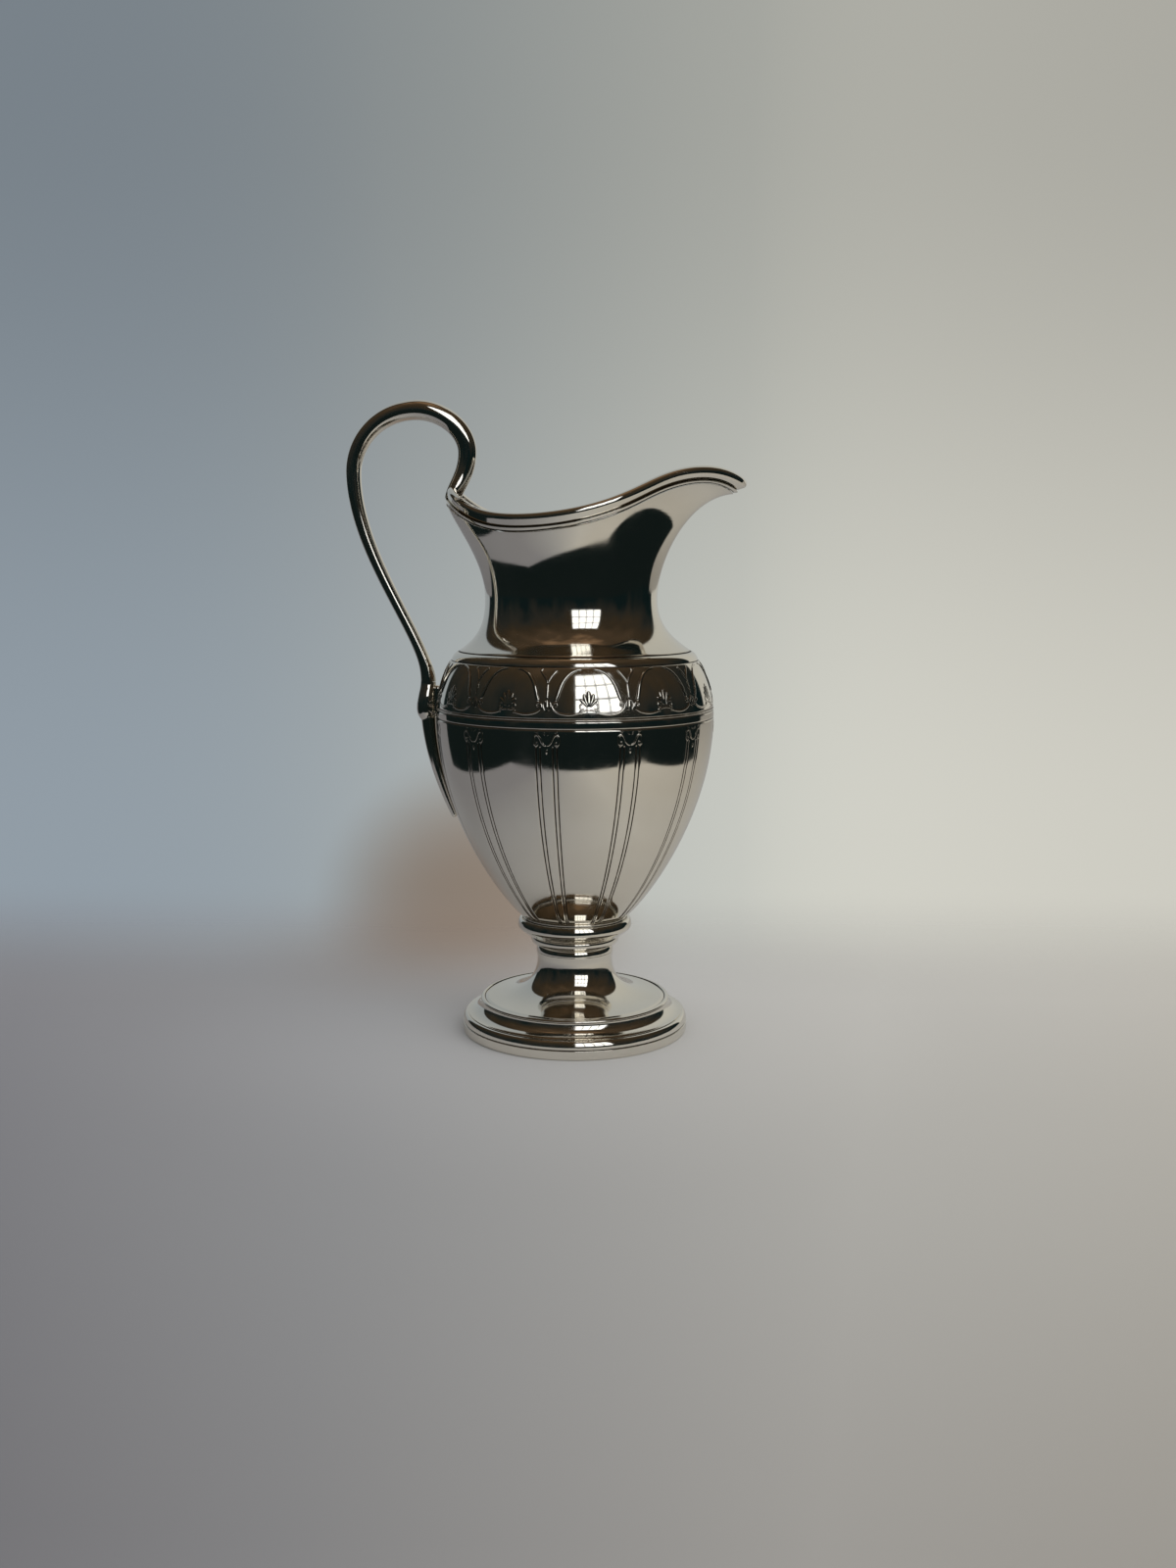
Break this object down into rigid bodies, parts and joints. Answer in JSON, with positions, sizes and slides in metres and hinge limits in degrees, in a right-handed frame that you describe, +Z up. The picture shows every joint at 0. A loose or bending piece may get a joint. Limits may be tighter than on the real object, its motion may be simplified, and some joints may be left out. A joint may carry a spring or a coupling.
{
  "type": "footed pitcher",
  "caption": "Footed vase-shaped pitcher with a drawn spout, a reeded rim and a high looped handle, in polished metal with chased ornament, for pouring water.",
  "frame": {"origin": "on the table, under the middle of the reach from the handle to the spout, in the plane of symmetry", "axes": "+Z up along the axis of the vase, +X towards the spout, -X towards the handle"},
  "size_m": [0.169, 0.119, 0.2706],
  "materials": {
    "polished_silver": "polished silver with fine wipe marks",
    "chased_silver": "polished silver with flat-chased lines that hold dark tarnish"
  },
  "bodies": {
    "root": {"foot_ring": "polished_silver", "pedestal_foot": "polished_silver", "stem_bead": "polished_silver", "knop_ring": "polished_silver", "bowl": "chased_silver", "shoulder": "chased_silver", "neck": "polished_silver", "rim_moulding": "polished_silver", "handle": "polished_silver", "handle_terminal": "polished_silver", "handle_tail": "polished_silver"}
  },
  "joints": []
}
